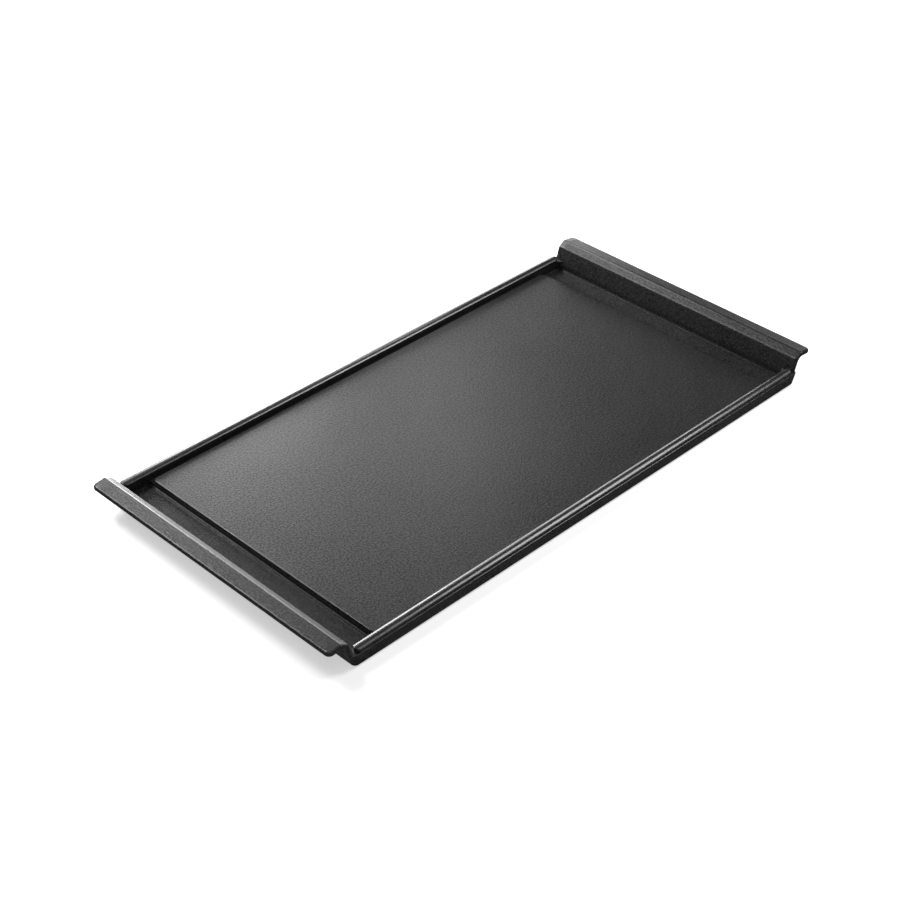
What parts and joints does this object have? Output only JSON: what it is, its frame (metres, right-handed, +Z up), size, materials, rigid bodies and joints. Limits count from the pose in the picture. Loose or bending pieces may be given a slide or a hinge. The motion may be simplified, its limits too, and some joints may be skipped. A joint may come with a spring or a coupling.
{
  "type": "hob griddle plate",
  "caption": "Long flat cast griddle plate for a hob, with a raised cooking surface, grease channels, rims and a turned-out grip at each end",
  "frame": {"origin": "middle of the flat underside that rests on the hob", "axes": "+X along the plate, from one grip to the other; +Y across it; +Z up, out of the cooking surface"},
  "size_m": [0.54, 0.2728, 0.026],
  "materials": {
    "coated_casting": "satin",
    "steel": "brushed"
  },
  "bodies": {
    "root": {"griddle_plate": "coated_casting", "left_induction_plate": "steel", "right_induction_plate": "steel"}
  },
  "joints": []
}
